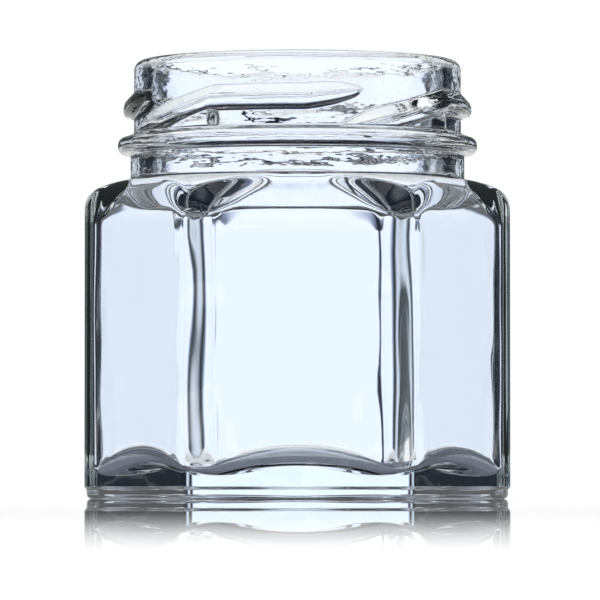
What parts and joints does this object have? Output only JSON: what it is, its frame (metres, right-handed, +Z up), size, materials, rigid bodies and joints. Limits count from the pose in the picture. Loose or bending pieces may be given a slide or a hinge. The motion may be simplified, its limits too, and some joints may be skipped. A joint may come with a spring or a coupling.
{
  "type": "hexagonal glass jar",
  "caption": "Small empty six-sided glass jar with rounded corners, arched shoulder and a wide round neck with a bead and twist-off lugs, without its lid.",
  "frame": {"origin": "middle of the foot, on the surface the jar stands on", "axes": "+Z up out of the mouth; +Y square to one flat face; +X towards one upright corner"},
  "size_m": [0.0504, 0.0444, 0.0518],
  "materials": {
    "glass": "clear colourless glass, fire-polished, with faint ripples"
  },
  "bodies": {
    "root": {"jar": "glass"}
  },
  "joints": []
}
